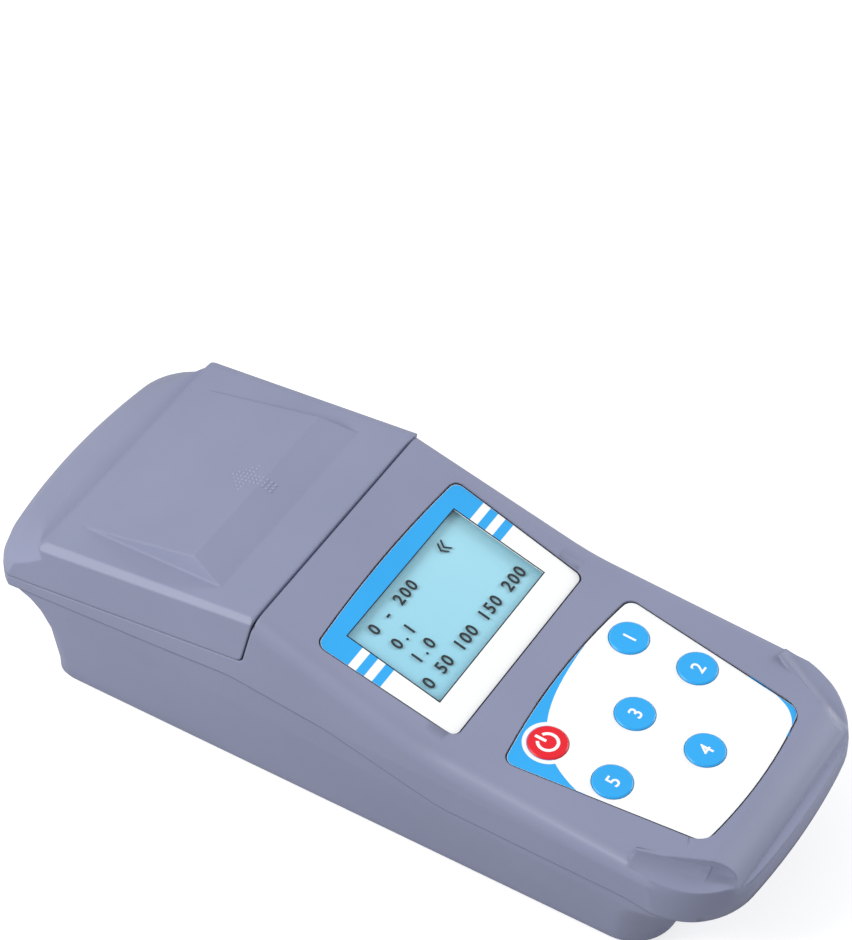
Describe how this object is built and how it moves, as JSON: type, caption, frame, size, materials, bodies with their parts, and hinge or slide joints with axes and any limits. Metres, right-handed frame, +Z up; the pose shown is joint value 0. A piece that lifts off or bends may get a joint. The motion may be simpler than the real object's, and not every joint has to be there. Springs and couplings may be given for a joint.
{
  "type": "portable turbidity meter",
  "caption": "Portable turbidity meter with a sliding lid over its sample well, a sloped display and a keypad of round keys.",
  "frame": {"origin": "bottom centre of the bounding box, on the surface under the feet", "axes": "+X to the user's right, +Y from the keypad to the rear of the lid, +Z up"},
  "size_m": [0.0988, 0.264, 0.0702],
  "materials": {
    "housing_grey": "satin fine texture",
    "steel_plain": "plain",
    "foam_black": "open foam",
    "black_plastic": "matte",
    "lamp_clear": "clear",
    "lens_glass": "clear",
    "sensor_black": "gloss",
    "board_green": "solder mask",
    "overlay_white": "printed film",
    "window_clear": "clear",
    "lcd_glass": "display",
    "rubber_black": "matte",
    "screw_steel": "zinc",
    "cell_wrap": "wrapped",
    "spring_steel": "nickel",
    "key_red": "printed film",
    "cable_grey": "ribbon",
    "key_blue": "printed film"
  },
  "bodies": {
    "meter": {"battery_cells": "cell_wrap", "battery_contacts": "spring_steel", "battery_cover": "housing_grey", "battery_springs": "spring_steel", "battery_tray": "black_plastic", "board_screws": "screw_steel", "bottom_housing": "housing_grey", "buzzer": "black_plastic", "case_screws": "screw_steel", "cell_holder": "black_plastic", "controller_chip": "black_plastic", "cover_screws": "screw_steel", "display_overlay": "overlay_white", "display_window": "window_clear", "flat_cables": "cable_grey", "guide_rails": "steel_plain", "holder_screws": "screw_steel", "keypad_board": "board_green", "keypad_overlay": "overlay_white", "keypad_screws": "screw_steel", "lamp": "lamp_clear", "lamp_board": "board_green", "lamp_lens": "lens_glass", "lcd_bezel": "steel_plain", "lcd_board": "board_green", "lcd_panel": "lcd_glass", "lcd_screws": "screw_steel", "light_seal": "foam_black", "main_board": "board_green", "rubber_feet": "rubber_black", "sensor": "sensor_black", "sensor_board": "board_green", "sensor_lens": "lens_glass", "tact_switches": "black_plastic", "top_housing": "housing_grey", "well_collar": "black_plastic"},
    "lid": {"lid": "housing_grey"},
    "power_key": {"power_key": "key_red"},
    "right_upper_key": {"right_upper_key": "key_blue"},
    "left_lower_key": {"left_lower_key": "key_blue"},
    "right_lower_key": {"right_lower_key": "key_blue"},
    "centre_key": {"centre_key": "key_blue"},
    "front_key": {"front_key": "key_blue"}
  },
  "joints": [
    {"name": "lid_slide", "type": "slide", "parent": "meter", "child": "lid", "axis": [0, 0.9912, -0.1323], "range_m": [0, 0.054]},
    {"name": "power_key_press", "type": "slide", "parent": "meter", "child": "power_key", "axis": [0, 0.0597, -0.9982], "range_m": [0, 0.0004], "stiffness_N_per_m": 600, "springref_m": -0.0006},
    {"name": "right_upper_key_press", "type": "slide", "parent": "meter", "child": "right_upper_key", "axis": [0, 0.0597, -0.9982], "range_m": [0, 0.0004], "stiffness_N_per_m": 600, "springref_m": -0.0006},
    {"name": "left_lower_key_press", "type": "slide", "parent": "meter", "child": "left_lower_key", "axis": [0, 0.0597, -0.9982], "range_m": [0, 0.0004], "stiffness_N_per_m": 600, "springref_m": -0.0006},
    {"name": "right_lower_key_press", "type": "slide", "parent": "meter", "child": "right_lower_key", "axis": [0, 0.0597, -0.9982], "range_m": [0, 0.0004], "stiffness_N_per_m": 600, "springref_m": -0.0006},
    {"name": "centre_key_press", "type": "slide", "parent": "meter", "child": "centre_key", "axis": [0, 0.0597, -0.9982], "range_m": [0, 0.0004], "stiffness_N_per_m": 600, "springref_m": -0.0006},
    {"name": "front_key_press", "type": "slide", "parent": "meter", "child": "front_key", "axis": [0, 0.0597, -0.9982], "range_m": [0, 0.0004], "stiffness_N_per_m": 600, "springref_m": -0.0006}
  ]
}
